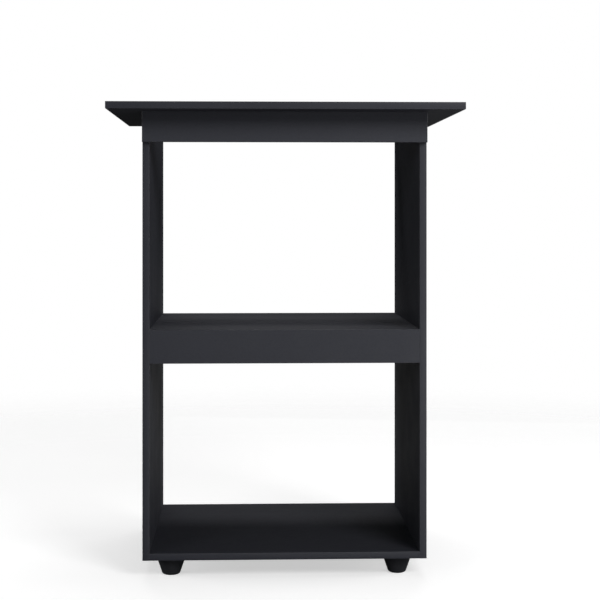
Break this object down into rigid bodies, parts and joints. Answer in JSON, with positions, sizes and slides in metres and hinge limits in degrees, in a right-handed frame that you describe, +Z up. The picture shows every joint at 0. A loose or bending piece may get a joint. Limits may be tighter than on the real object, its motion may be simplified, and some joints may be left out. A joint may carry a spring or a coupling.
{
  "type": "kitchen cabinet",
  "caption": "Open graphite kitchen cabinet: wide worktop with a hob cut-out, fascia, and open niches for a microwave and an oven between two side panels on short round feet.",
  "frame": {"origin": "on the floor under the middle of the worktop", "axes": "+Z up, the open front with the fascia faces -Y, +X to the viewer's right"},
  "size_m": [0.75, 0.6, 1.015],
  "materials": {
    "board_graphite": "chipboard with a matte graphite melamine face, fine leathery grain",
    "edge_band_graphite": "matte graphite edge band with softly rounded corners",
    "foot_plastic": "moulded black plastic, satin",
    "cap_plastic": "moulded graphite plastic, satin",
    "cam_zinc": "die-cast zinc, dull",
    "fitting_steel": "bright zinc plate",
    "dowel_beech": "raw fluted beech"
  },
  "bodies": {
    "root": {"worktop": "board_graphite", "left_side": "board_graphite", "right_side": "board_graphite", "base_board": "board_graphite", "shelf_board": "board_graphite", "front_rail": "board_graphite", "fascia": "board_graphite", "rear_top_rail": "board_graphite", "rear_shelf_rail": "board_graphite", "worktop_edge_bands": "edge_band_graphite", "left_side_edge_bands": "edge_band_graphite", "right_side_edge_bands": "edge_band_graphite", "base_edge_bands": "edge_band_graphite", "shelf_edge_band": "edge_band_graphite", "front_rail_edge_bands": "edge_band_graphite", "fascia_edge_bands": "edge_band_graphite", "rear_top_rail_edge_band": "edge_band_graphite", "rear_shelf_rail_edge_band": "edge_band_graphite", "foot_front_left": "foot_plastic", "foot_front_right": "foot_plastic", "foot_rear_left": "foot_plastic", "foot_rear_right": "foot_plastic", "cam_cover_caps": "cap_plastic", "worktop_cam_locks": "cam_zinc", "fascia_cam_locks": "cam_zinc", "shelf_cam_locks": "cam_zinc", "base_cam_locks": "cam_zinc", "rail_cam_locks": "cam_zinc", "foot_screws": "fitting_steel", "worktop_cam_bolts": "fitting_steel", "fascia_cam_bolts": "fitting_steel", "shelf_cam_bolts": "fitting_steel", "base_cam_bolts": "fitting_steel", "rail_cam_bolts": "fitting_steel", "worktop_dowels": "dowel_beech", "fascia_dowels": "dowel_beech", "shelf_dowels": "dowel_beech", "base_dowels": "dowel_beech", "rail_dowels": "dowel_beech"}
  },
  "joints": []
}
